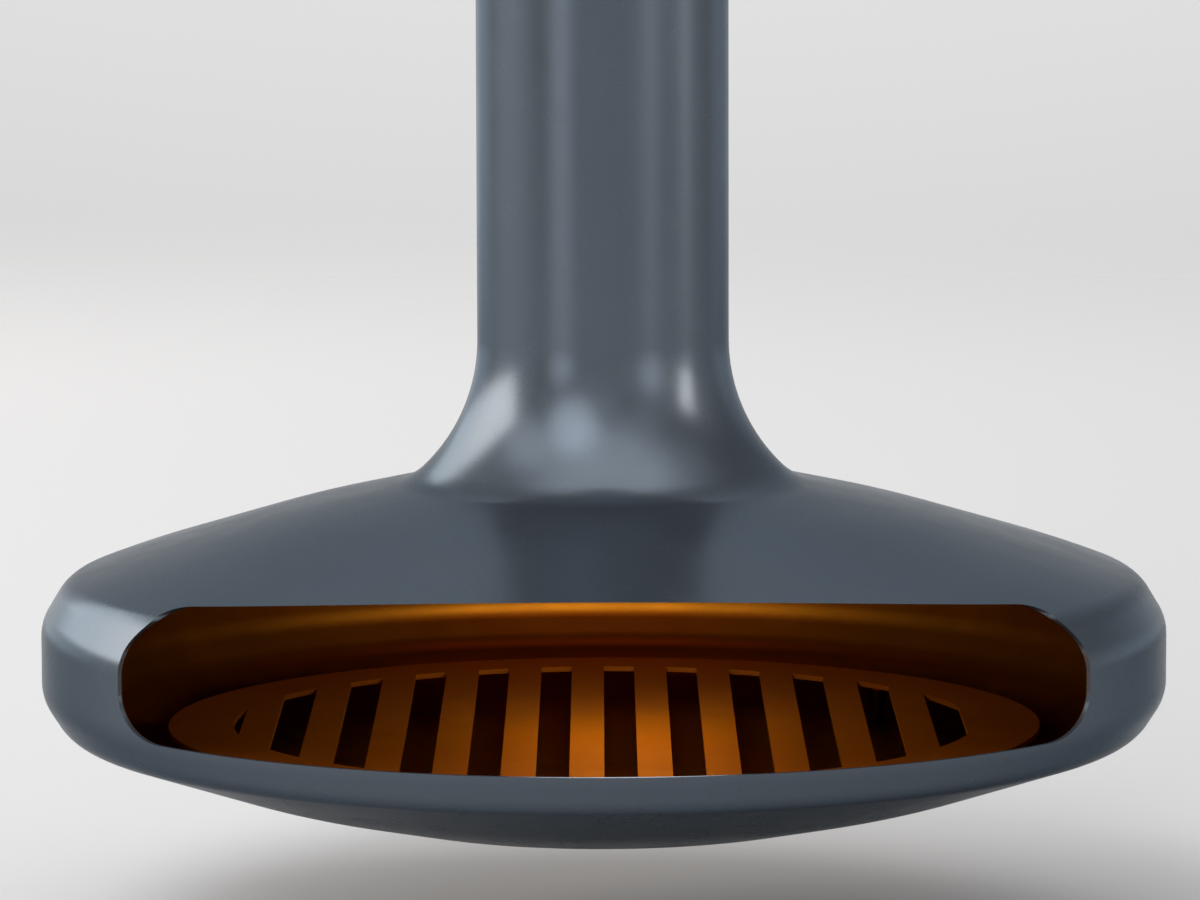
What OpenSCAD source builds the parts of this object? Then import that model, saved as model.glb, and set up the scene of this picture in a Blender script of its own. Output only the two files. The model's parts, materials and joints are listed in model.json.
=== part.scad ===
// Hanging fireplace: a lens-shaped steel hearth that hangs from the ceiling by its flue pipe
// and turns on a ball bearing under a round cover.
// Millimetres. The origin is the centre of the ceiling plate's top face, +Z is up and the
// mouth faces -Y. The plate and what it holds stay still, and the pipe and the hearth turn.

/* [Hearth shell] */
// Outer diameter of the hearth at its widest ring
hearth_d = 1120; // [1040:10:1240]
// Height of the crown corner, where flare and dome meet, above the widest ring
crown_h = 173; // [165:1:185]
// Depth of the flat underside below the widest ring
bowl_h = 160; // [150:1:175]
// Sheet thickness of the flare, the dome and the bowl
shell_t = 4; // [3:0.5:5]
// Rounding of the two bends on each side of the widest ring
shoulder_round = 45; // [30:1:60]
// Rounding of the slow bends on the dome
dome_round = 1100; // [600:50:1400]
// Rounding of the slow bends on the bowl
bowl_round = 700; // [400:50:1200]
// Rounding around the flat underside
floor_round = 90; // [40:5:140]

/* [Flare] */
// Height of the pipe's lower end above the widest ring
neck_h = 313; // [300:1:330]
// Distance from the pipe's surface out to the crown corner
flare_reach = 67; // [60:1:75]
// Height of the flare's upper bend above the crown corner
flare_rise = 65; // [60:1:72]
// Radius of the flare's long upper bend
flare_round = 177; // [150:1:190]
// Radius of the bend where the flare runs out onto the dome
crown_round = 63; // [50:1:75]

/* [Mouth] */
// Width of the mouth
mouth_w = 921; // [800:1:940]
// Height of the middle of the mouth's upper edge above the widest ring
mouth_top = 107.5; // [90:0.5:115]
// Depth of the mouth's lower edge below the widest ring
mouth_sill = 37.5; // [30:0.5:45]
// Radius of the arched upper edge
mouth_arch_r = 3500; // [2500:100:6000]
// Radius of the two upper corners
mouth_top_round = 66; // [30:1:75]
// Radius of the two lower corners
mouth_low_round = 42; // [20:1:60]

/* [Liners] */
// Sheet thickness of the two enamelled liners
liner_t = 1.5; // [1:0.1:2.5]
// How far the liners stop short of the mouth's edge
liner_setback = 1; // [1:0.5:10]

/* [Flue pipe] */
// Drop from the ceiling to the underside of the hearth
hang_h = 2000; // [1400:50:3200]
// Outer diameter of the flue pipe
flue_d = 250; // [220:5:280]
// Wall of the flue pipe
flue_t = 2; // [1.5:0.5:3]

/* [Grate] */
// Depth of the grate's top face below the widest ring
grate_depth = 71.5; // [66:0.5:76]
// Gap between the widest ring and the grate's edge, seen from above
grate_gap = 125; // [115:1:140]
// Thickness of the grate plate
grate_t = 5; // [4:0.5:8]
// Distance from one slot to the next
slot_pitch = 65.5; // [50:0.5:80]
// Width of a slot
slot_w = 32; // [20:0.5:40]
// Width of the plain rim around the slots
slot_margin = 65; // [55:1:80]
// Radius of a grate foot
foot_r = 8; // [6:0.5:12]
// Number of grate feet
foot_count = 4; // [3:1:8]

/* [Damper] */
// Height of the sleeve that carries the damper
sleeve_h = 80; // [60:1:120]
// Wall of the damper sleeve
sleeve_t = 2; // [1.5:0.5:3]
// Radius of the two spindle bosses
boss_r = 12; // [10:0.5:15]
// Length of a spindle boss inside the sleeve
boss_len = 14; // [10:1:20]
// Radius of the damper spindle
spindle_r = 6; // [5:0.5:8]
// Thickness of the damper blade
blade_t = 3; // [2:0.5:4]
// Gap between the blade's edge and the sleeve
blade_gap = 3; // [2:0.5:6]
// Distance from the spindle to the middle of the lever's eye
lever_len = 108; // [80:1:110]
// Radius of the lever's rod
lever_r = 4.5; // [3:0.5:6]
// Radius of the lever's eye, to the middle of its wire
eye_r = 14; // [11:1:16]
// Distance between the bolts that hold the blade
blade_bolt_step = 70; // [50:1:75]

/* [Turning bearing] */
// Radius of a bearing ball
ball_r = 6; // [5:0.5:8]
// Number of bearing balls
ball_count = 36; // [24:1:42]
// Distance from the pipe's surface to the circle of ball centres
ball_step = 21; // [19:0.5:26]
// Width of the two races
race_w = 24; // [20:1:28]
// Thickness of a race
race_t = 6; // [5:0.5:9]
// Thickness of the ball cage
cage_t = 3; // [2:0.5:4]
// Thickness of the flange on the pipe
flange_t = 8; // [6:1:12]
// Height of the gussets and of the pipe's end above the flange
gusset_h = 12; // [8:1:16]
// Thickness of a gusset
gusset_t = 5; // [4:0.5:8]
// Number of gussets
gusset_count = 8; // [4:1:12]

/* [Bearing housing] */
// Depth of the housing from the ceiling plate to its lip
housing_h = 60; // [55:1:80]
// Wall of the bearing housing
housing_wall = 6; // [4:0.5:10]
// Gap between the races and the housing's wall
housing_gap = 8; // [4:0.5:12]
// Thickness of the lip that carries the lower race
lip_t = 8; // [6:0.5:12]
// Gap between the lip and the turning pipe
lip_gap = 5; // [3:0.5:6]
// Width of the housing's upper flange
housing_flange_w = 26; // [24:1:34]
// Thickness of the housing's upper flange
housing_flange_t = 8; // [6:0.5:12]
// Number of screws that hold the housing
housing_screw_count = 8; // [4:1:12]
// Radius of a housing screw's shank
housing_screw_r = 4; // [3:0.5:5]

/* [Ceiling end] */
// Thickness of the ceiling plate
plate_t = 10; // [8:1:15]
// Radius of a ceiling bolt hole
bolt_hole_r = 6.5; // [5:0.5:8]
// Number of ceiling bolt holes
bolt_hole_count = 6; // [4:1:12]
// Distance from the housing's flange out to the ceiling bolt circle
bolt_margin = 20; // [17:1:30]
// Distance from the ceiling bolt circle to the plate's edge
plate_margin = 22; // [18:1:35]
// Height above the ceiling plate of the socket for the chimney pipe
socket_h = 80; // [50:5:150]
// Clearance in the socket round a chimney pipe of the flue's size
socket_gap = 0.5; // [0.3:0.1:1]
// Length below the ceiling plate of the spigot that stands in the flue pipe
spigot_drop = 130; // [100:5:200]
// Wall of the socket and spigot
spigot_t = 2; // [1.5:0.5:3]
// Width of the gap between spigot and pipe, which the rope seal fills
seal_w = 5; // [4:0.5:8]
// Height of the rope seal
seal_h = 10; // [6:1:16]
// Thickness of the turned-out bead that carries the seal
bead_t = 3; // [2:0.5:5]
// Sheet thickness of the ceiling cover
cover_t = 1.5; // [1:0.1:2.5]
// Height of the ceiling cover
cover_h = 108; // [104:1:140]
// Height of the cover's upright band
cover_band_h = 66; // [60:1:75]
// Rounding below the cover's upright band
cover_round = 30; // [10:1:50]
// Gap between the cover and the ceiling
cover_lift = 1; // [0.5:0.5:3]
// Number of cover screws
cover_screw_count = 4; // [3:1:8]
// Radius of a cover screw's shank
cover_screw_r = 2.5; // [2:0.5:3]

/* [Hidden] */

// Clearances: between pieces that move apart, between pieces that are joined, around a turning
// spindle, and the overrun of every cut
seat_gap = 0.3;
weld_gap = 0.1;
spindle_gap = 0.05;
overrun = 1;

// Steps of a full turn, and degrees per step of a rounded bend
round_steps = 128;
bend_step = 6;

paint_grey = [0.25, 0.28, 0.32];
enamel_orange = [0.62, 0.30, 0.10];
bare_steel = [0.62, 0.63, 0.64];
zinc_grey = [0.70, 0.71, 0.73];
rope_black = [0.16, 0.16, 0.17];
brass_yellow = [0.72, 0.58, 0.30];

hearth_r = hearth_d / 2;
flue_r = flue_d / 2;
flue_bore_r = flue_r - flue_t;

// Height of the widest ring, and of the pipe's lower end
ring_z = bowl_h - hang_h;
neck_z = ring_z + neck_h;

// Corners of the outer outline as shares of the hearth's radius and of the crown's or the bowl's
// height: where the dome steepens twice, its shoulder, and the same on the bowl
dome_shares = [[0.557, 0.845], [0.867, 0.543], [0.957, 0.429], [1, 0.2]];
bowl_shares = [[1, 0.23], [0.957, 0.464], [0.659, 0.816], [0.4286, 1]];
// Place of the seam between flare and dome, as a share of the way from the crown to the next bend
seam_share = 0.3;

function unit(from, to) = (to - from) / norm(to - from);
function along(from, to, share) = from + (to - from) * share;
function flat(corner) = [corner[0], corner[1]];
function inner_half(a, b, c) = acos(unit(b, a) * unit(b, c)) / 2;
function turned(v, angle) = [v[0] * cos(angle) - v[1] * sin(angle), v[0] * sin(angle) + v[1] * cos(angle)];
function side(a, b, c) = (b[0] - a[0]) * (c[1] - b[1]) - (b[1] - a[1]) * (c[0] - b[0]);
function backwards(points) = [for (i = [len(points) - 1:-1:0]) points[i]];
function apart(points) = [for (i = [0:len(points) - 1])
    if (i == 0 || norm(points[i] - points[max(i - 1, 0)]) > weld_gap / 100) points[i]];

// Length that a corner's rounding takes from each of its legs
function wanted_len(path, i) =
    i == 0 || i == len(path) - 1 || path[i][2] == 0 ? 0
    : path[i][2] / tan(inner_half(flat(path[i - 1]), flat(path[i]), flat(path[i + 1])));
// Share of it that fits where two roundings meet on one leg
function leg_share(path, i) =
    i < 0 || i > len(path) - 2 ? 1
    : let (
        leg = norm(flat(path[i + 1]) - flat(path[i])),
        wanted = wanted_len(path, i) + wanted_len(path, i + 1)
    )
    min(1, leg / max(wanted, overrun));

// Points of the arc that rounds corner i of a path of [x, y, rounding]
function bend(path, i) =
    let (t = wanted_len(path, i) * min(leg_share(path, i - 1), leg_share(path, i)), b = flat(path[i]))
    t == 0 ? [b]
    : let (a = flat(path[i - 1]), c = flat(path[i + 1]), half = inner_half(a, b, c), turn = 180 - 2 * half,
        centre = b + unit([0, 0], unit(b, a) + unit(b, c)) * t / cos(half),
        start = b + unit(b, a) * t, steps = ceil(turn / bend_step),
        way = side(a, b, c) > 0 ? 1 : -1)
    [for (k = [0:steps]) centre + turned(start - centre, way * turn * k / steps)];
// A path with its corners rounded
function rounded(path) = apart([for (i = [0:len(path) - 1]) each bend(path, i)]);

// A path moved sideways by a distance, to the right of its run
function right_of(from, to) = [unit(from, to)[1], -unit(from, to)[0]];
function moved(points, distance) = [for (i = [0:len(points) - 1])
    let (before = right_of(points[max(i - 1, 0)], points[max(i, 1)]),
        after = right_of(points[min(i, len(points) - 2)], points[min(i + 1, len(points) - 1)]))
    points[i] + (before + after) * distance / (1 + before * after)];
// The closed outline of a sheet between two such distances
function sheet(points, near, far) = concat(moved(points, near), backwards(moved(points, far)));

// The hearth's outer outline in [radius, height above the widest ring], from the pipe down
dome_corners = [for (share = dome_shares) [share[0] * hearth_r, share[1] * crown_h]];
bowl_corners = [for (share = bowl_shares) [share[0] * hearth_r, -share[1] * bowl_h]];
crown_corner = [flue_r + flare_reach, crown_h];
seam_corner = along(crown_corner, dome_corners[0], seam_share);
flare_line = rounded([
    [flue_r, neck_h, 0],
    [flue_r, crown_h + flare_rise, flare_round],
    [crown_corner[0], crown_corner[1], crown_round],
    [seam_corner[0], seam_corner[1], 0],
]);
dome_line = rounded([
    [seam_corner[0], seam_corner[1], 0],
    [dome_corners[0][0], dome_corners[0][1], dome_round],
    [dome_corners[1][0], dome_corners[1][1], dome_round],
    [dome_corners[2][0], dome_corners[2][1], shoulder_round],
    [dome_corners[3][0], dome_corners[3][1], shoulder_round],
    [hearth_r, 0, 0],
]);
bowl_line = rounded([
    [hearth_r, 0, 0],
    [bowl_corners[0][0], bowl_corners[0][1], shoulder_round],
    [bowl_corners[1][0], bowl_corners[1][1], shoulder_round],
    [bowl_corners[2][0], bowl_corners[2][1], bowl_round],
    [bowl_corners[3][0], bowl_corners[3][1], floor_round],
    [0, -bowl_h, 0],
]);
// Depths of the liners behind the outer surface, and of what rests on them
liner_near = shell_t + seat_gap;
liner_far = liner_near + liner_t;
rest_depth = liner_far + seat_gap;

// The mouth's outline in [x, height above the widest ring], grown all round by a margin
arch_shares = [for (k = [5:-1:-5]) k * 0.17];
function arch_z(x, grow) = mouth_top + grow - mouth_arch_r + sqrt(mouth_arch_r ^ 2 - x ^ 2);
function mouth_outline(grow) =
    let (half = mouth_w / 2 + grow, low = -mouth_sill - grow, high = arch_z(mouth_w / 2, grow),
        loop = rounded(concat(
            [[0, low, 0], [half, low, mouth_low_round], [half, high, mouth_top_round]],
            [for (share = arch_shares) [share * half, arch_z(share * half, grow), 0]],
            [[-half, high, mouth_top_round], [-half, low, mouth_low_round], [0, low, 0]]
        )))
    [for (i = [0:len(loop) - 2]) loop[i]];

// Heights of the ceiling end, from the plate down
lip_z = -plate_t - housing_h;
race_gap = ball_r * 4 / 3;
ball_z = lip_z + race_t + race_gap / 2;
flange_z = ball_z + race_gap / 2 + race_t;
pipe_top_z = flange_z + flange_t + gusset_h;
spigot_low_z = -plate_t - spigot_drop;

// Radii of the ceiling end, from the pipe out
ball_ring_r = flue_r + ball_step;
race_in_r = ball_ring_r - race_w / 2;
race_out_r = ball_ring_r + race_w / 2;
housing_in_r = race_out_r + housing_gap;
housing_r = housing_in_r + housing_wall;
housing_flange_r = housing_r + housing_flange_w;
housing_screw_ring_r = housing_r + housing_flange_w / 2;
bolt_ring_r = housing_flange_r + bolt_margin;
plate_r = bolt_ring_r + plate_margin;
spigot_r = flue_bore_r - seal_w;
socket_r = flue_r + socket_gap;
cage_w = race_w * 0.75;

// The two sizes of socket-head screw, from their shank's radius
housing_head_r = housing_screw_r * 1.6;
housing_head_h = housing_screw_r * 2;
cover_head_r = cover_screw_r * 1.8;
cover_head_h = cover_screw_r;
socket_share = 0.5;

// Damper, in its own frame: the spindle's axis is X through the middle of the sleeve
sleeve_r = flue_bore_r - seat_gap;
sleeve_bore_r = sleeve_r - sleeve_t;
damper_z = neck_z + sleeve_h / 2;
blade_r = sleeve_bore_r - blade_gap;
blade_seat = spindle_r * 2 / 3;
blade_bolt_r = 2.5;
blade_head_r = 4.5;
blade_head_h = 3;
lever_hub_r = spindle_r + 5;
lever_hub_w = 18;

// Grate
grate_r = hearth_r - grate_gap;
slot_zone_r = grate_r - slot_margin;
slot_half_count = ceil(slot_zone_r / slot_pitch);
grate_z = ring_z - grate_depth;
foot_ring_r = grate_r - slot_margin / 2;

module lathe(points) {
    rotate_extrude($fn = round_steps)
        polygon(points);
}

module tube(outer, inner, low, high) {
    translate([0, 0, low])
        difference() {
            cylinder(r = outer, h = high - low, $fn = round_steps);
            translate([0, 0, -overrun])
                cylinder(r = inner, h = high - low + 2 * overrun, $fn = round_steps);
        }
}

// Copies set out evenly on a circle about Z
module around(count, radius, first = 0) {
    for (i = [0:count - 1])
        rotate([0, 0, first + i * 360 / count])
            translate([radius, 0, 0])
                children();
}

// A round bar along X between two places
module bar_x(radius, low, high) {
    translate([low, 0, 0])
        rotate([0, 90, 0])
            cylinder(r = radius, h = high - low, $fn = round_steps / 2);
}

// What the mouth takes out of the shells
module mouth_cut(grow) {
    translate([0, 0, ring_z])
        rotate([90, 0, 0])
            linear_extrude(height = hearth_r + overrun)
                polygon(mouth_outline(grow));
}

// The space inside the bowl, a distance inside its outer surface
module bowl_space(depth) {
    line = moved(bowl_line, depth);
    translate([0, 0, ring_z])
        lathe(concat([[0, 0]], line));
}

// A socket-head screw: its shank runs up along Z, and its head hangs under the origin
module screw(shank_r, shank_len, head_r, head_h) {
    cylinder(r = shank_r, h = shank_len, $fn = round_steps / 4);
    difference() {
        translate([0, 0, -head_h])
            cylinder(r = head_r, h = head_h, $fn = round_steps / 2);
        translate([0, 0, -head_h - overrun])
            cylinder(r = shank_r, h = head_h * socket_share + overrun, $fn = 6);
    }
}

module ceiling_plate() {
    color(bare_steel)
        difference() {
            tube(plate_r, socket_r + spigot_t + weld_gap, -plate_t, 0);
            around(bolt_hole_count, bolt_ring_r)
                translate([0, 0, -plate_t - overrun])
                    cylinder(r = bolt_hole_r, h = plate_t + 2 * overrun, $fn = round_steps / 2);
            around(housing_screw_count, housing_screw_ring_r, 180 / housing_screw_count)
                translate([0, 0, -plate_t - overrun])
                    cylinder(
                        r = housing_screw_r + weld_gap,
                        h = plate_t * 0.8 + overrun,
                        $fn = round_steps / 4
                    );
            around(cover_screw_count, plate_r, 45)
                translate([0, 0, -plate_t / 2])
                    bar_x(cover_screw_r + weld_gap, -cover_screw_r * 5, overrun);
        }
}

module flue_spigot() {
    color(bare_steel)
        union() {
            tube(spigot_r, spigot_r - spigot_t, spigot_low_z, spigot_t - plate_t);
            tube(socket_r + spigot_t, spigot_r - spigot_t, -plate_t, spigot_t - plate_t);
            tube(socket_r + spigot_t, socket_r, -plate_t, socket_h);
            tube(flue_bore_r - seal_w * 0.3, spigot_r - spigot_t, spigot_low_z, spigot_low_z + bead_t);
        }
}

module flue_seal() {
    seal_z = spigot_low_z + bead_t;
    color(rope_black)
        tube(flue_bore_r - seat_gap, spigot_r + weld_gap, seal_z, seal_z + seal_h);
}

module bearing_housing() {
    color(bare_steel)
        difference() {
            union() {
                tube(housing_r, housing_in_r, lip_z, -plate_t);
                tube(housing_r, flue_r + lip_gap, lip_z - lip_t, lip_z);
                tube(housing_flange_r, housing_in_r, -plate_t - housing_flange_t, -plate_t);
            }
            around(housing_screw_count, housing_screw_ring_r, 180 / housing_screw_count)
                translate([0, 0, -plate_t - housing_flange_t - overrun])
                    cylinder(
                        r = housing_screw_r + weld_gap,
                        h = housing_flange_t + 2 * overrun,
                        $fn = round_steps / 4
                    );
        }
}

module housing_screws() {
    color(zinc_grey)
        translate([0, 0, -plate_t - housing_flange_t])
            around(housing_screw_count, housing_screw_ring_r, 180 / housing_screw_count)
                screw(housing_screw_r, housing_flange_t + plate_t * 0.7, housing_head_r, housing_head_h);
}

// A race between two heights, with the balls' groove in it
module race(low) {
    difference() {
        tube(race_out_r, race_in_r, low, low + race_t);
        translate([0, 0, ball_z])
            rotate_extrude($fn = round_steps)
                translate([ball_ring_r, 0])
                    circle(r = ball_r + seat_gap, $fn = round_steps / 2);
    }
}

module lower_race() {
    color(bare_steel)
        race(lip_z);
}

module upper_race() {
    color(bare_steel)
        race(flange_z - race_t);
}

module bearing_balls() {
    color(zinc_grey)
        translate([0, 0, ball_z])
            around(ball_count, ball_ring_r)
                sphere(r = ball_r, $fn = round_steps / 4);
}

module ball_cage() {
    color(brass_yellow)
        translate([0, 0, ball_z])
            difference() {
                tube(ball_ring_r + cage_w / 2, ball_ring_r - cage_w / 2, -cage_t / 2, cage_t / 2);
                around(ball_count, ball_ring_r)
                    translate([0, 0, -cage_t])
                        cylinder(r = ball_r + seat_gap, h = cage_t * 2, $fn = round_steps / 2);
            }
}

module pipe_flange() {
    color(bare_steel)
        tube(race_out_r, flue_r + weld_gap, flange_z, flange_z + flange_t);
}

module flange_gussets() {
    reach = race_w;
    rib = [[0, 0], [reach, 0], [reach, cage_t], [cage_t, gusset_h], [0, gusset_h]];
    color(bare_steel)
        translate([0, 0, flange_z + flange_t])
            around(gusset_count, flue_r + weld_gap * 2)
                translate([0, gusset_t / 2, 0])
                    rotate([90, 0, 0])
                        linear_extrude(height = gusset_t)
                            polygon(rib);
}

module flue_pipe() {
    color(paint_grey)
        tube(flue_r, flue_bore_r, neck_z, pipe_top_z);
}

// The cover's outer outline in [radius, height], from its rim to the hole for the pipe
cover_line = rounded([
    [plate_r + seat_gap + cover_t, -cover_lift, 0],
    [plate_r + seat_gap + cover_t, -cover_band_h, cover_round],
    [flue_r + lip_gap, -cover_h, 0],
]);

module ceiling_cover() {
    color(paint_grey)
        difference() {
            lathe(sheet(cover_line, 0, cover_t));
            around(cover_screw_count, plate_r, 45)
                translate([0, 0, -plate_t / 2])
                    bar_x(cover_screw_r + weld_gap, 0, cover_t * 3);
        }
}

module cover_screws() {
    color(zinc_grey)
        around(cover_screw_count, plate_r + seat_gap + cover_t, 45)
            translate([0, 0, -plate_t / 2])
                rotate([0, -90, 0])
                    screw(cover_screw_r, cover_screw_r * 5, cover_head_r, cover_head_h);
}

module damper_sleeve() {
    color(bare_steel)
        translate([0, 0, damper_z])
            difference() {
                union() {
                    tube(sleeve_r, sleeve_bore_r, -sleeve_h / 2, sleeve_h / 2);
                    intersection() {
                        for (turn = [0, 180])
                            rotate([0, 0, turn])
                                bar_x(boss_r, sleeve_bore_r - boss_len, sleeve_r);
                        cylinder(r = sleeve_r, h = sleeve_h, center = true, $fn = round_steps);
                    }
                }
                bar_x(spindle_r + spindle_gap, -flue_r, flue_r);
            }
}

// Where the blade's bolts stand along the spindle
module at_blade_bolts() {
    for (place = [-1, 0, 1])
        translate([place * blade_bolt_step, 0, 0])
            children();
}

module damper_spindle() {
    end = sleeve_r - seat_gap;
    flat_half = blade_bolt_step + blade_head_r * 2;
    color(bare_steel)
        translate([0, 0, damper_z])
            difference() {
                bar_x(spindle_r, -end, end);
                translate([-flat_half, -spindle_r - overrun, -spindle_r - overrun])
                    cube([flat_half * 2, spindle_r - blade_seat + overrun, (spindle_r + overrun) * 2]);
                at_blade_bolts()
                    rotate([90, 0, 0])
                        cylinder(
                            r = blade_bolt_r + weld_gap,
                            h = spindle_r * 4,
                            center = true,
                            $fn = round_steps / 4
                        );
            }
}

module damper_blade() {
    notch = sleeve_bore_r - boss_len - blade_gap;
    color(bare_steel)
        translate([0, 0, damper_z])
            difference() {
                translate([0, -blade_seat, 0])
                    rotate([90, 0, 0])
                        cylinder(r = blade_r, h = blade_t, $fn = round_steps);
                for (turn = [0, 180])
                    rotate([0, 0, turn])
                        bar_x(boss_r + blade_gap, notch, flue_r);
                for (turn = [0, 180])
                    rotate([0, 0, turn])
                        bar_x(spindle_r + weld_gap, blade_bolt_step + blade_head_r * 2, flue_r);
                at_blade_bolts()
                    rotate([90, 0, 0])
                        cylinder(r = blade_bolt_r + weld_gap, h = spindle_r * 4, $fn = round_steps / 4);
            }
}

module damper_bolts() {
    nut_h = blade_bolt_r * 1.6;
    shank = blade_t + blade_seat + spindle_r + nut_h;
    color(zinc_grey)
        translate([0, -blade_seat - blade_t, damper_z])
            at_blade_bolts() {
                rotate([-90, 0, 0])
                    cylinder(r = blade_bolt_r, h = shank, $fn = round_steps / 4);
                rotate([90, 0, 0])
                    cylinder(r = blade_head_r, h = blade_head_h, $fn = 6);
                translate([0, blade_t + blade_seat + spindle_r, 0])
                    rotate([-90, 0, 0])
                        cylinder(r = blade_head_r, h = nut_h, $fn = 6);
            }
}

module damper_lever() {
    place = blade_bolt_step / 2;
    color(bare_steel)
        translate([place, 0, damper_z])
            difference() {
                union() {
                    bar_x(lever_hub_r, -lever_hub_w / 2, lever_hub_w / 2);
                    rotate([-135, 0, 0])
                        cylinder(r = lever_r, h = lever_len - eye_r, $fn = round_steps / 4);
                    rotate([-135, 0, 0])
                        translate([0, 0, lever_len])
                            rotate([0, 90, 0])
                                rotate_extrude($fn = round_steps / 2)
                                    translate([eye_r, 0])
                                        circle(r = lever_r, $fn = round_steps / 4);
                }
                bar_x(spindle_r + weld_gap, -lever_hub_w, lever_hub_w);
                translate([-lever_hub_w, -lever_hub_r * 2 - blade_seat + weld_gap, -lever_hub_r * 2])
                    cube([lever_hub_w * 2, lever_hub_r * 2, lever_hub_r * 4]);
            }
}

module hood_flare() {
    color(paint_grey)
        translate([0, 0, ring_z])
            lathe(sheet(flare_line, 0, shell_t));
}

module dome_shell() {
    color(paint_grey)
        difference() {
            translate([0, 0, ring_z])
                lathe(sheet(dome_line, 0, shell_t));
            mouth_cut(0);
        }
}

module bowl_shell() {
    color(paint_grey)
        difference() {
            translate([0, 0, ring_z])
                lathe(sheet(bowl_line, 0, shell_t));
            mouth_cut(0);
        }
}

module dome_liner() {
    color(enamel_orange)
        difference() {
            translate([0, 0, ring_z])
                lathe(sheet(dome_line, liner_near, liner_far));
            mouth_cut(liner_setback);
        }
}

module bowl_liner() {
    color(enamel_orange)
        difference() {
            translate([0, 0, ring_z])
                lathe(sheet(bowl_line, liner_near, liner_far));
            mouth_cut(liner_setback);
        }
}

module grate_plate() {
    color(enamel_orange)
        translate([0, 0, grate_z - grate_t])
            linear_extrude(height = grate_t)
                difference() {
                    circle(r = grate_r, $fn = round_steps);
                    intersection() {
                        circle(r = slot_zone_r, $fn = round_steps);
                        for (i = [-slot_half_count:slot_half_count - 1])
                            translate([i * slot_pitch, -slot_zone_r])
                                square([slot_w, slot_zone_r * 2]);
                    }
                }
}

module grate_feet() {
    color(enamel_orange)
        intersection() {
            around(foot_count, foot_ring_r, 180 / foot_count)
                translate([0, 0, ring_z - bowl_h])
                    cylinder(r = foot_r, h = bowl_h - grate_depth - grate_t, $fn = round_steps / 2);
            bowl_space(rest_depth);
        }
}

ceiling_plate();
flue_spigot();
flue_seal();
bearing_housing();
housing_screws();
lower_race();
ceiling_cover();
cover_screws();
ball_cage();
bearing_balls();
upper_race();
pipe_flange();
flange_gussets();
flue_pipe();
damper_sleeve();
damper_spindle();
damper_blade();
damper_lever();
damper_bolts();
hood_flare();
dome_shell();
bowl_shell();
dome_liner();
bowl_liner();
grate_plate();
grate_feet();
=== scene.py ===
"""Hanging fireplace: smooth painted shells, orange lining, grate and ceiling fittings in a pale studio."""
import json
import math

import bmesh
import bpy
import numpy as np
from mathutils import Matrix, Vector

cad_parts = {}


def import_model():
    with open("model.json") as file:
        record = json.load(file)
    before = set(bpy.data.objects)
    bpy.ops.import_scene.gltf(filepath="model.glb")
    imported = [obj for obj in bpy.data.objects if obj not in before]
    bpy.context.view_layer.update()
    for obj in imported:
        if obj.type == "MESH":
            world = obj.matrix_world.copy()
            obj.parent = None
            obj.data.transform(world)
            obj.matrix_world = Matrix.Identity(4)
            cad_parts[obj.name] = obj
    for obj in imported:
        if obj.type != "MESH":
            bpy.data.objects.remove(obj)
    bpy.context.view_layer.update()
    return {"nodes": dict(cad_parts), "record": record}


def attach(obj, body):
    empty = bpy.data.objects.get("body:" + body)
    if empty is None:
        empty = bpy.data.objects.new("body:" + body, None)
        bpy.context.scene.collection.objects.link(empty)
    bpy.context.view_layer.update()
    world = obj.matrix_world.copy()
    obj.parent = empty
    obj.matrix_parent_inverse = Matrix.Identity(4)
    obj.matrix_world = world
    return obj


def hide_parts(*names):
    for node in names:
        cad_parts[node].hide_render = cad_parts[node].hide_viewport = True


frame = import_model()
nodes = frame["nodes"]

# Sizes of the sheets, in millimetres. Heights count from the hearth's widest ring
MM = 0.001
RING = -1840.0              # height of the widest ring under the ceiling
HEARTH_R = 560.0
CROWN_H = 173.0             # height of the corner between flare and dome
BOWL_H = 160.0
FLUE_R = 125.0
FLUE_T = 2.0
SHELL_T = 4.0
LINER_T = 1.5
LINER_GAP = 0.1             # between a shell and its lining
LINER_DEPTH = SHELL_T + LINER_GAP
NECK_H = 313.0              # height at which the flare meets the pipe
PIPE_TOP = -30.0            # under the ceiling
FLARE_REACH = 67.0
FLARE_RISE = 65.0
FLARE_ROUND = 177.0
CROWN_ROUND = 63.0
SHOULDER_ROUND = 45.0
DOME_ROUND = 1100.0
BOWL_ROUND = 700.0
FLOOR_ROUND = 90.0
# Corners of the outlines, as shares of the hearth's radius and of the crown's or the bowl's height
DOME_SHARES = ((0.557, 0.845), (0.867, 0.543), (0.957, 0.429), (1.0, 0.2))
BOWL_SHARES = ((1.0, 0.23), (0.957, 0.464), (0.659, 0.816), (0.4286, 1.0))
SEAM_SHARE = 0.3            # place of the seam between flare and dome on the first stretch of the dome

# The mouth, in millimetres
MOUTH_HALF = 460.5
MOUTH_TOP = 108.5
MOUTH_SILL = 37.5
MOUTH_ARCH_R = 3600.0
MOUTH_CORNER_WIDE = 78.0    # reach of the upper corners along the upper edge
MOUTH_CORNER_TALL = 58.0    # and down the sides
MOUTH_LOW_ROUND = 42.0
LINER_SETBACK = 0.5         # of the lining's edge behind the shell's
CUTTER_DIG = 14.0           # reach of the cutter's sides inwards from the shell's inner face
CUTTER_REACH = 18.0         # and outwards
CUTTER_NEAR = (0.0, -200.0, 20.0)       # point that closes the cutter inside the hearth
CUTTER_FAR = (0.0, -1100.0, 60.0)       # and in front of it

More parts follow.
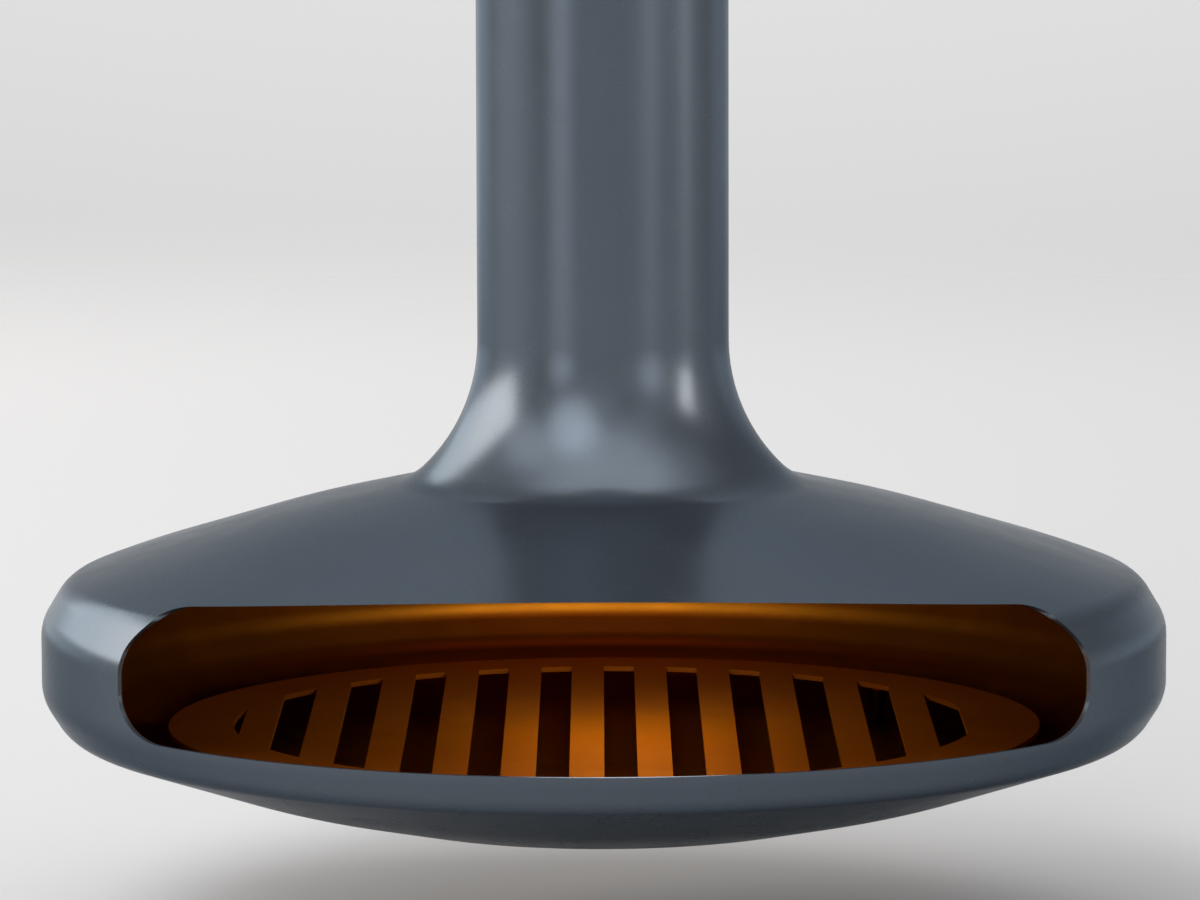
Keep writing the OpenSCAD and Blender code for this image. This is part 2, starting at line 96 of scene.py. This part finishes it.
# Fineness of the meshes, in millimetres and degrees
TURNS = 240                 # facets round each turned piece
SAG = 0.03                  # largest distance of a facet from its arc
ARC_STEP = 3.0              # largest turn between two points of an arc
MOUTH_ARC_STEP = 2.0
MOUTH_CORNER_STEPS = 40
MOUTH_ARCH_STEPS = 60
MOUTH_STEP = 9.0            # longest stretch of the mouth's edge between two points
SAME_POINT = 1e-3           # points closer than this are one
ON_AXIS = 1e-6
TINY = 1e-9
SKIN_GAP = 0.3              # a face closer than this to an outline may lie on that side
SKIN_AGREE = 0.8            # least cosine between such a face's normal and the outline's
EDGE_AGREE = 0.9            # least cosine between two edge faces that share a smooth normal
EDGE = -1                   # mark of a face on neither side


# Outlines
def unit(v):
    return v / np.linalg.norm(v)


def rounded(path, most=ARC_STEP):
    """Points of a path of (x, y, rounding), with each corner rounded in steps of most degrees."""
    pts = [np.array(p[:2], float) for p in path]
    n = len(pts)

    def half(i):
        """Half the angle between the two stretches at corner i."""
        c = float(np.dot(unit(pts[i - 1] - pts[i]), unit(pts[i + 1] - pts[i])))
        return math.acos(max(-1.0, min(1.0, c))) / 2

    want = [
        0.0 if i in (0, n - 1) or path[i][2] == 0 else path[i][2] / math.tan(half(i))
        for i in range(n)
    ]

    def share(i):
        """The part of the wanted roundings that stretch i has room for."""
        if i < 0 or i > n - 2:
            return 1.0
        return min(1.0, np.linalg.norm(pts[i + 1] - pts[i]) / max(want[i] + want[i + 1], 1.0))

    out = []
    for i in range(n):
        t = want[i] * min(share(i - 1), share(i))
        if t == 0:
            out.append(pts[i])
            continue
        u = unit(pts[i - 1] - pts[i])
        v = unit(pts[i + 1] - pts[i])
        h = half(i)
        centre = pts[i] + unit(u + v) * t / math.cos(h)
        start = pts[i] + u * t
        cross = (pts[i] - pts[i - 1])[0] * (pts[i + 1] - pts[i])[1]
        cross -= (pts[i] - pts[i - 1])[1] * (pts[i + 1] - pts[i])[0]
        turn = math.copysign(math.pi - 2 * h, cross)
        r = np.linalg.norm(start - centre)
        step = min(math.radians(most), 2 * math.acos(max(-1.0, 1 - SAG / r)))
        count = max(1, math.ceil(abs(turn) / step))
        d = start - centre
        for j in range(count + 1):
            c = math.cos(turn * j / count)
            s = math.sin(turn * j / count)
            out.append(centre + np.array([d[0] * c - d[1] * s, d[0] * s + d[1] * c]))
    kept = [out[0]]
    for p in out[1:]:
        if np.linalg.norm(p - kept[-1]) > SAME_POINT:
            kept.append(p)
    return np.array(kept)


def stretch_normals(line):
    """Unit normals of the stretches of a [radius, height] line that runs down the outside."""
    seg = np.diff(line, axis=0)
    seg /= np.linalg.norm(seg, axis=1)[:, None]
    return np.stack([-seg[:, 1], seg[:, 0]], 1)


def outward(line):
    """Unit normals at the points of such a line."""
    right = stretch_normals(line)
    both = np.vstack([right[:1], right[:-1] + right[1:], right[-1:]])
    return both / np.linalg.norm(both, axis=1)[:, None]


def inset(line, d):
    """The same line, d further in."""
    right = stretch_normals(line)
    a = np.vstack([right[:1], right])
    b = np.vstack([right, right[-1:]])
    return line - (a + b) * d / (1 + (a * b).sum(1))[:, None]


dome_knots = [np.array([a * HEARTH_R, b * CROWN_H]) for a, b in DOME_SHARES]
bowl_knots = [np.array([a * HEARTH_R, -b * BOWL_H]) for a, b in BOWL_SHARES]
crown = np.array([FLUE_R + FLARE_REACH, CROWN_H])
seam = crown + (dome_knots[0] - crown) * SEAM_SHARE

pipe_line = np.array([[FLUE_R, PIPE_TOP - RING], [FLUE_R, NECK_H]])
flare_line = rounded([
    (FLUE_R, NECK_H, 0),
    (FLUE_R, CROWN_H + FLARE_RISE, FLARE_ROUND),
    (*crown, CROWN_ROUND),
    (*seam, 0),
])
dome_line = rounded([
    (*seam, 0),
    (*dome_knots[0], DOME_ROUND),
    (*dome_knots[1], DOME_ROUND),
    (*dome_knots[2], SHOULDER_ROUND),
    (*dome_knots[3], SHOULDER_ROUND),
    (HEARTH_R, 0, 0),
])
bowl_line = rounded([
    (HEARTH_R, 0, 0),
    (*bowl_knots[0], SHOULDER_ROUND),
    (*bowl_knots[1], SHOULDER_ROUND),
    (*bowl_knots[2], BOWL_ROUND),
    (*bowl_knots[3], FLOOR_ROUND),
    (0.0, -BOWL_H, 0),
])


# Meshes
def link_new(name, data):
    """A new object of the scene."""
    obj = bpy.data.objects.new(name, data)
    bpy.context.scene.collection.objects.link(obj)
    return obj


def add_mesh(name, verts, faces):
    """A new object from points in millimetres round the ring's centre, its faces looking outwards."""
    mesh = bpy.data.meshes.new(name)
    v = np.asarray(verts, float).copy()
    v[:, 2] += RING
    mesh.from_pydata((v * MM).tolist(), [], faces)
    mesh.validate()
    bm = bmesh.new()
    bm.from_mesh(mesh)
    bmesh.ops.recalc_face_normals(bm, faces=bm.faces)
    bm.to_mesh(mesh)
    bm.free()
    return link_new(name, mesh)


def turned(name, outer, inner):
    """A sheet turned about the vertical axis: its outer line down, its inner line up."""
    verts = []
    rings = []
    for r, z in np.vstack([outer, inner[::-1]]):
        if r < ON_AXIS:
            rings.append([len(verts)] * TURNS)
            verts.append((0.0, 0.0, z))
            continue
        rings.append(list(range(len(verts), len(verts) + TURNS)))
        for k in range(TURNS):
            a = 2 * math.pi * (k + 0.5) / TURNS
            verts.append((r * math.sin(a), -r * math.cos(a), z))
    faces = []
    n = len(rings)
    for i in range(n):
        a = rings[i]
        b = rings[(i + 1) % n]
        if a[0] == a[1] and b[0] == b[1]:
            continue
        for k in range(TURNS):
            m = (k + 1) % TURNS
            corners = []
            for q in (a[k], b[k], b[m], a[m]):
                if q not in corners:
                    corners.append(q)
            faces.append(corners)
    return add_mesh(name, verts, faces)


def line_normals(line, r, z):
    """For points (r, z): distance to the line, and the line's smooth normal there."""
    nrm = outward(line)
    best = np.full(len(r), np.inf)
    out = np.zeros((len(r), 2))
    p = np.stack([r, z], 1)
    for i, a in enumerate(line[:-1]):
        d = line[i + 1] - a
        t = np.clip(((p - a) @ d) / (d * d).sum(), 0, 1)
        gap = np.linalg.norm(p - (a + t[:, None] * d), axis=1)
        near = gap < best
        best[near] = gap[near]
        out[near] = (nrm[i] * (1 - t[:, None]) + nrm[i + 1] * t[:, None])[near]
    return best, out / np.linalg.norm(out, axis=1)[:, None]


def read(items, key, kind, width=1):
    """One property of all items, as an array with a row for each where it has several numbers."""
    values = np.empty(len(items) * width, kind)
    items.foreach_get(key, values)
    return values if width == 1 else values.reshape(-1, width)


def shade(obj, outer, inner):
    """Exact smooth normals on a sheet's two sides, and even ones along its cut edges.

    Returns each face's side: 0 for the outer one, 1 for the inner one, or EDGE."""
    mesh = obj.data
    co = read(mesh.vertices, "co", float, 3) / MM
    co[:, 2] -= RING
    r = np.hypot(co[:, 0], co[:, 1])
    safe = np.maximum(r, TINY)
    flat = read(mesh.polygons, "normal", float, 3)
    start = read(mesh.polygons, "loop_start", int)
    total = read(mesh.polygons, "loop_total", int)
    point = read(mesh.loops, "vertex_index", int)
    face = np.repeat(np.arange(len(flat)), total)
    side = np.full(len(flat), EDGE)
    normals = flat[face]
    for s, (line, sign) in enumerate(((outer, 1.0), (inner, -1.0))):
        gap, nn = line_normals(line, r, co[:, 2])
        smooth = sign * np.stack([co[:, 0] / safe * nn[:, 0], co[:, 1] / safe * nn[:, 0], nn[:, 1]], 1)
        worst = np.maximum.reduceat(gap[point], start)
        mean = np.add.reduceat(smooth[point], start) / total[:, None]
        side[(worst < SKIN_GAP) & ((mean * flat).sum(1) > SKIN_AGREE)] = s
        on_side = side[face] == s
        normals[on_side] = smooth[point[on_side]]
    edge = side[face] == EDGE
    shared = np.zeros((len(co), 3))
    np.add.at(shared, point[edge], flat[face][edge])
    size = np.linalg.norm(shared, axis=1)
    shared /= np.maximum(size, TINY)[:, None]
    agree = edge & ((shared[point] * flat[face]).sum(1) > EDGE_AGREE)
    normals[agree] = shared[point[agree]]
    mesh.polygons.foreach_set("use_smooth", np.ones(len(flat), bool))
    mesh.normals_split_custom_set(normals.tolist())
    mesh.update()
    return side


# The mouth's cutter
def mouth_outline(grow):
    """The mouth's edge on the shell's inner face, grown all round: (x, height) as seen from the front."""
    half = MOUTH_HALF + grow
    low = -MOUTH_SILL - grow

    def arch(x):
        """Height of the upper edge."""
        return MOUTH_TOP + grow - (MOUTH_ARCH_R - math.sqrt(MOUTH_ARCH_R ** 2 - x * x))

    arch_end = half - MOUTH_CORNER_WIDE
    slope = -arch_end / math.sqrt(MOUTH_ARCH_R ** 2 - arch_end ** 2)
    corner = np.array([half, arch(arch_end) + slope * (half - arch_end)])
    side_end = corner - np.array([0.0, MOUTH_CORNER_TALL])
    top_end = np.array([arch_end, arch(arch_end)])
    right = list(rounded([(0.0, low, 0), (half, low, MOUTH_LOW_ROUND), (*side_end, 0)], MOUTH_ARC_STEP))
    # each upper corner is a quarter of a leaning ellipse
    for k in range(1, MOUTH_CORNER_STEPS + 1):
        t = k / MOUTH_CORNER_STEPS
        pull = math.sqrt(2) * t * (1 - t)
        total = (1 - t) ** 2 + pull + t ** 2
        right.append(((1 - t) ** 2 * side_end + pull * corner + t ** 2 * top_end) / total)
    for k in range(1, MOUTH_ARCH_STEPS + 1):
        x = arch_end * (1 - k / MOUTH_ARCH_STEPS)
        right.append(np.array([x, arch(x)]))
    pts = [right[0]]
    for p in right[1:]:
        base = pts[-1]
        gap = np.linalg.norm(p - base)
        if gap < SAME_POINT:
            continue
        steps = max(1, math.ceil(gap / MOUTH_STEP))
        pts += [base + (p - base) * k / steps for k in range(1, steps + 1)]
    left = [np.array([-p[0], p[1]]) for p in pts[1:-1]][::-1]
    return pts + left


def mouth_cutter(grow):
    """A closed body through the mouth, whose sides point level and away from the hearth's axis."""
    inner = inset(np.vstack([dome_line, bowl_line[1:]]), SHELL_T)
    order = np.argsort(inner[:, 1])
    outline = mouth_outline(grow)
    verts = []
    for x, z in outline:
        r = np.interp(z, inner[order, 1], inner[order, 0])
        p = np.array([x, -math.sqrt(r * r - x * x), z])
        away = np.array([p[0] / r, p[1] / r, 0.0])
        verts += [p - away * CUTTER_DIG, p + away * CUTTER_REACH]
    near = len(verts)
    far = near + 1
    verts += [np.array(CUTTER_NEAR), np.array(CUTTER_FAR)]
    faces = []
    n = len(outline)
    for i in range(n):
        j = (i + 1) % n
        faces.append([2 * i, 2 * i + 1, 2 * j + 1, 2 * j])
        faces.append([near, 2 * i, 2 * j])
        faces.append([far, 2 * j + 1, 2 * i + 1])
    return add_mesh("cutter", verts, faces)


def cut(obj, cutter):
    """Take the cutter's body out of a piece for good."""
    mod = obj.modifiers.new("mouth", "BOOLEAN")
    mod.operation = "DIFFERENCE"
    mod.solver = "EXACT"
    mod.object = cutter
    bpy.context.view_layer.update()
    graph = bpy.context.evaluated_depsgraph_get()
    mesh = bpy.data.meshes.new_from_object(obj.evaluated_get(graph))
    obj.modifiers.clear()
    old = obj.data
    obj.data = mesh
    bpy.data.meshes.remove(old)
    mesh.name = obj.name


# Materials
NOISE_SPAN = (0.3, 0.7)     # where nearly all of a noise's values lie
# Noises by scale in 1/m, detail and roughness
BROAD_NOISE = (7.0, 4.0, 0.55)
FINE_NOISE = (160.0, 3.0, 0.6)
SMUDGE_NOISE = (18.0, 5.0, 0.6)
PEEL_DETAIL = (2.0, 0.5)    # detail and roughness alone, as each metal gives its own scale
GLOSS_SPREAD = 0.03
PAINTED_SHADE_RAGGED = 0.006        # metres that the edges of the painted shade and light bands wander up and down


class Nodes:
    """Short ways to build a node tree."""

    def __init__(self, tree):
        self.tree = tree
        tree.nodes.clear()

    def add(self, kind, **values):
        node = self.tree.nodes.new(kind)
        for key, value in values.items():
            setattr(node, key, value)
        return node

    def link(self, a, b):
        self.tree.links.new(a, b)

    def math(self, op, *values):
        node = self.add("ShaderNodeMath", operation=op)
        for socket, value in zip(node.inputs, values):
            if isinstance(value, bpy.types.NodeSocket):
                self.link(value, socket)
            else:
                socket.default_value = value
        return node.outputs[0]

    def noise(self, vector, scale, detail, rough):
        node = self.add("ShaderNodeTexNoise")
        self.link(vector, node.inputs["Vector"])
        node.inputs["Scale"].default_value = scale
        node.inputs["Detail"].default_value = detail
        node.inputs["Roughness"].default_value = rough
        return node.outputs["Fac"]

    def remap(self, value, a, b, c, d, smooth=False):
        """value, with a to b spread to c to d and held at both ends."""
        node = self.add("ShaderNodeMapRange")
        if smooth:
            node.interpolation_type = "SMOOTHSTEP"
        self.link(value, node.inputs["Value"])
        for key, v in zip(("From Min", "From Max", "To Min", "To Max"), (a, b, c, d)):
            node.inputs[key].default_value = v
        return node.outputs["Result"]

    def spread(self, noise, low, high):
        """A noise, spread from low to high."""
        return self.remap(noise, *NOISE_SPAN, low, high)


def new_material(name):
    mat = bpy.data.materials.new(name)
    mat.use_nodes = True
    return mat, Nodes(mat.node_tree)


def painted_bands(n, tone, at, broad, painted_shade, painted_light_below):
    """tone darkened below a height, as painted shade under the grate, and lightened again further down, as
    a painted lit floor in the bowl.

    Each band is (low, high, tone): in full below low, and gone above high, in millimetres."""
    place = n.add("ShaderNodeSeparateXYZ")
    n.link(at, place.inputs[0])
    ragged = n.math("ADD", place.outputs[2], n.spread(broad, -PAINTED_SHADE_RAGGED, PAINTED_SHADE_RAGGED))
    height = n.math("MULTIPLY_ADD", ragged, 1 / MM, -RING)
    shade_factor = n.remap(height, *painted_shade, 1.0, smooth=True)
    if painted_light_below:
        shade_factor = n.math("MAXIMUM", shade_factor, n.remap(height, *painted_light_below, 0.0, smooth=True))
    return n.math("MULTIPLY", tone, shade_factor)


def metal(
    name, base, rough, grain, metallic=1.0, edge=(0.8, 0.8, 0.8), bump=0.02, mottle=0.05,
    painted_shade=None, painted_light_below=None,
):
    """A coated or bare metal finish: slight mottling, uneven gloss and a fine orange peel.

    base is its colour, and edge the tint of its reflections at a grazing angle. grain is the peel's
    scale and bump its depth in millimetres."""
    mat, n = new_material(name)
    out = n.add("ShaderNodeOutputMaterial")
    bsdf = n.add("ShaderNodeBsdfPrincipled")
    n.link(bsdf.outputs[0], out.inputs[0])
    at = n.add("ShaderNodeTexCoord").outputs["Object"]
    broad = n.noise(at, *BROAD_NOISE)
    patches = n.spread(broad, 1 - mottle, 1 + mottle)
    specks = n.spread(n.noise(at, *FINE_NOISE), -mottle / 2, mottle / 2)
    tone = n.math("ADD", patches, specks)
    # bands by height: painted shade under the grate, and painted light on the bowl's floor
    if painted_shade:
        tone = painted_bands(n, tone, at, broad, painted_shade, painted_light_below)
    colour = n.add("ShaderNodeVectorMath", operation="SCALE")
    colour.inputs[0].default_value = base
    n.link(tone, colour.inputs["Scale"])
    n.link(colour.outputs[0], bsdf.inputs["Base Color"])
    bsdf.inputs["Metallic"].default_value = metallic
    bsdf.inputs["Specular Tint"].default_value = (*edge, 1)
    gloss = n.spread(n.noise(at, *SMUDGE_NOISE), rough - GLOSS_SPREAD, rough + GLOSS_SPREAD)
    n.link(gloss, bsdf.inputs["Roughness"])
    peel = n.add("ShaderNodeBump")
    peel.inputs["Strength"].default_value = 1.0
    peel.inputs["Distance"].default_value = bump * MM
    n.link(n.noise(at, grain, *PEEL_DETAIL), peel.inputs["Height"])
    n.link(peel.outputs[0], bsdf.inputs["Normal"])
    return mat


paint = metal(
    "slate_paint", (0.082, 0.098, 0.118), rough=0.26, grain=700.0, metallic=0.8,
    edge=(0.3, 0.33, 0.36), bump=0.002, mottle=0.015,
)
enamel = metal(
    "lining_enamel", (0.26, 0.083, 0.004), rough=0.36, grain=600.0, metallic=0.94,
    edge=(0.6, 0.32, 0.05), bump=0.01, mottle=0.04,
    # the first band is painted shade under the grate, the second a painted lighter bowl floor
    painted_shade=(-92.0, -76.0, 0.12), painted_light_below=(-136.0, -108.0, 1.2),
)
edge_enamel = metal(
    "lining_edge", (0.03, 0.012, 0.004), rough=0.5, grain=600.0, metallic=0.5,
    edge=(0.2, 0.2, 0.2), bump=0.01,
)
bar_enamel = metal(
    "bar_enamel", (0.3, 0.077, 0.005), rough=0.57, grain=600.0, metallic=0.97,
    edge=(0.6, 0.46, 0.15), bump=0.012, mottle=0.04,
    # a painted shade band on the grate's feet under the plate
    painted_shade=(-86.0, -79.0, 0.12),
)
steel = metal("mill_steel", (0.42, 0.42, 0.43), rough=0.38, grain=1200.0, metallic=0.95, mottle=0.08)
race = metal("ground_steel", (0.6, 0.6, 0.62), rough=0.2, grain=1500.0, bump=0.005, mottle=0.03)
zinc = metal("plated_zinc", (0.55, 0.56, 0.58), rough=0.34, grain=1500.0, bump=0.01, mottle=0.06)
brass = metal("plain_brass", (0.62, 0.43, 0.17), rough=0.32, grain=1200.0, bump=0.01, mottle=0.06)
rope = metal(
    "glass_rope", (0.035, 0.035, 0.038), rough=0.85, grain=350.0, metallic=0.0, bump=0.6, mottle=0.2,
)

SLOT_MATERIALS = {
    "grey_paint": paint,
    "orange_enamel": enamel,
    "grate_enamel": bar_enamel,
    "bare_steel": steel,
    "race_steel": race,
    "zinc_screws": zinc,
    "cage_brass": brass,
    "rope_seal": rope,
}
for part in frame["record"]["subparts"]:
    materials = nodes[part["node"]].data.materials
    materials.clear()
    materials.append(SLOT_MATERIALS[part["material_slot"]])


# The smooth pieces, each in place of a CAD sheet
def sheet_piece(name, line, thick, stands_for, slot, cutter=None, depth=0.0):
    """A turned sheet on the hearth, its outer face depth inside the line, with the mouth cut in it."""
    outer = inset(line, depth) if depth else line
    inner = inset(line, depth + thick)
    if line[-1][0] < ON_AXIS:
        outer[-1][0] = 0.0
        inner[-1][0] = 0.0
    obj = turned(name, outer, inner)
    if cutter:
        cut(obj, cutter)
    side = shade(obj, outer, inner)
    obj.data.materials.clear()
    obj.data.materials.append(SLOT_MATERIALS[slot])
    if depth:
        # the cut edges of a lining are dark
        obj.data.materials.append(edge_enamel)
        obj.data.polygons.foreach_set("material_index", (side == EDGE).astype(np.int32))
    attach(obj, "hearth")
    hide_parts(stands_for)


shell_cutter = mouth_cutter(0.0)
liner_cutter = mouth_cutter(LINER_SETBACK)
sheet_piece("pipe_skin", pipe_line, FLUE_T, "flue_pipe", "grey_paint")
sheet_piece("flare_skin", flare_line, SHELL_T, "hood_flare", "grey_paint")
sheet_piece("dome_skin", dome_line, SHELL_T, "dome_shell", "grey_paint", shell_cutter)
sheet_piece("bowl_skin", bowl_line, SHELL_T, "bowl_shell", "grey_paint", shell_cutter)
sheet_piece("dome_lining", dome_line, LINER_T, "dome_liner", "orange_enamel", liner_cutter, LINER_DEPTH)
sheet_piece("bowl_lining", bowl_line, LINER_T, "bowl_liner", "orange_enamel", liner_cutter, LINER_DEPTH)
for tool in (shell_cutter, liner_cutter):
    mesh = tool.data
    bpy.data.objects.remove(tool)
    bpy.data.meshes.remove(mesh)


# Floor, room and lamps, in metres and degrees
FLOOR_Z = -2.14
FLOOR_R = 9.6
FLOOR_SIDES = 96
FLOOR_FADE = (5.0, 9.5)             # the floor fades out between these distances
FLOOR_COLOUR = (0.405, 0.414, 0.428, 1)

ROOM_LEVEL = 0.41
# Soft lights all round: azimuth, elevation, reach and strength
ROOM_LIGHTS = (
    # high up
    (0, 74, 40, 1.9),
    (84, 58, 24, 0.6),
    (36, 44, 20, 0.5),
    (0, 38, 22, 0.4),
    (-30, 40, 24, 3.2),
    (-76, 44, 20, 1.9),
    # low at the front and the sides
    (0, 8, 34, 0.36),
    (45, 8, 34, 0.4),
    (90, 8, 34, 0.35),
    (-92, 0, 34, 0.7),
    # low behind
    (-145, -12, 28, 2.2),
    (140, -10, 30, 1.2),
    # the backdrop, and a shade high up at the right
    (180, 21, 39, 0.5),
    (180, 42, 18, 0.25),
    (104, 40, 34, -0.2),
    # narrow ones for the pipe's streaks
    (-38, 4, 15, 2.2),
    (44, 8, 15, 1.8),
    (82, -2, 9, 1.0),
)

LAMP_DISTANCE = 12.0
LAMP_AIM = Vector((0.0, 0.0, -1.65))
GLOW_PLACE = (0.02, 0.06, RING * MM + 0.15)
GLOW_R = 0.11
GLOW_WATTS = 2.8

LENS = 205.74
SENSOR = 36.0
CLIP_END = 100.0
CAMERA_PLACE = (-0.0033, -6.7831, -0.8504)
CAMERA_TILT = 83.37                 # from straight down
CAMERA_ROLL = -0.163


def direction(az, el):
    """az from straight towards the viewer's side (-Y), positive to the right."""
    a = math.radians(az)
    e = math.radians(el)
    return Vector((math.sin(a) * math.cos(e), -math.cos(a) * math.cos(e), math.sin(e)))


def stage_floor():
    """A pale disc that fades out into the room."""
    verts = [(0.0, 0.0, 0.0)]
    faces = []
    for k in range(FLOOR_SIDES):
        a = 2 * math.pi * k / FLOOR_SIDES
        verts.append((FLOOR_R * math.sin(a), FLOOR_R * math.cos(a), 0.0))
        faces.append([0, 1 + (k + 1) % FLOOR_SIDES, 1 + k])
    mesh = bpy.data.meshes.new("floor")
    mesh.from_pydata(verts, [], faces)
    obj = link_new("floor", mesh)
    obj.location = (0.0, 0.0, FLOOR_Z)
    mat, n = new_material("floor_white")
    out = n.add("ShaderNodeOutputMaterial")
    pale = n.add("ShaderNodeBsdfDiffuse")
    pale.inputs["Color"].default_value = FLOOR_COLOUR
    clear = n.add("ShaderNodeBsdfTransparent")
    mix = n.add("ShaderNodeMixShader")
    length = n.add("ShaderNodeVectorMath", operation="LENGTH")
    n.link(n.add("ShaderNodeTexCoord").outputs["Object"], length.inputs[0])
    n.link(n.remap(length.outputs["Value"], *FLOOR_FADE, 0.0, 1.0, smooth=True), mix.inputs[0])
    n.link(pale.outputs[0], mix.inputs[1])
    n.link(clear.outputs[0], mix.inputs[2])
    n.link(mix.outputs[0], out.inputs[0])
    mesh.materials.append(mat)


def world():
    """An even room with the soft lights in it."""
    studio = bpy.data.worlds.new("studio")
    bpy.context.scene.world = studio
    studio.use_nodes = True
    n = Nodes(studio.node_tree)
    out = n.add("ShaderNodeOutputWorld")
    room = n.add("ShaderNodeBackground")
    n.link(room.outputs[0], out.inputs[0])
    way = n.add("ShaderNodeTexCoord").outputs["Generated"]
    level = ROOM_LEVEL
    for az, el, reach, strength in ROOM_LIGHTS:
        dot = n.add("ShaderNodeVectorMath", operation="DOT_PRODUCT")
        n.link(way, dot.inputs[0])
        dot.inputs[1].default_value = direction(az, el)
        rim = math.cos(math.radians(reach))
        light = n.remap(dot.outputs["Value"], rim, 1.0, 0.0, strength, smooth=True)
        level = n.math("ADD", level, light)
    n.link(level, room.inputs["Strength"])
    room.inputs["Color"].default_value = (1.0, 1.0, 1.0, 1)


def soft_box(name, az, el, wide, tall, radiance, colour=(1, 1, 1), shine=True):
    """A rectangular lamp, wide and tall in degrees as seen from the hearth."""
    d = direction(az, el)
    data = bpy.data.lights.new(name, "AREA")
    data.shape = "RECTANGLE"
    w = 2 * LAMP_DISTANCE * math.tan(math.radians(wide / 2))
    h = 2 * LAMP_DISTANCE * math.tan(math.radians(tall / 2))
    data.size = w
    data.size_y = h
    data.energy = radiance * math.pi * w * h
    data.color = colour
    obj = link_new(name, data)
    obj.location = LAMP_AIM + d * LAMP_DISTANCE
    obj.rotation_euler = d.to_track_quat("Z", "Y").to_euler()
    obj.visible_camera = False
    obj.visible_glossy = shine


def hearth_glow():
    """A small lamp inside the dome, so that the lining shows."""
    data = bpy.data.lights.new("hearth_glow", "POINT")
    data.shadow_soft_size = GLOW_R
    data.energy = GLOW_WATTS
    obj = link_new("hearth_glow", data)
    obj.location = GLOW_PLACE
    obj.visible_camera = False


def add_camera():
    data = bpy.data.cameras.new("camera")
    data.sensor_width = SENSOR
    data.lens = LENS
    data.clip_end = CLIP_END
    obj = link_new("camera", data)
    obj.location = CAMERA_PLACE
    obj.rotation_euler = (math.radians(CAMERA_TILT), 0.0, 0.0)
    obj.rotation_euler.rotate_axis("Z", math.radians(CAMERA_ROLL))
    bpy.context.scene.camera = obj


stage_floor()
world()
soft_box("key_left", az=-119, el=21, wide=66, tall=27, radiance=6.6, colour=(1.0, 0.89, 0.79))
soft_box("side_right", az=79, el=15, wide=14, tall=20, radiance=6.0, colour=(1.0, 0.9, 0.8))
soft_box("front_fill", az=-24, el=38, wide=24, tall=24, radiance=11.0, shine=False)
hearth_glow()
add_camera()
bpy.context.scene.view_settings.view_transform = "Standard"
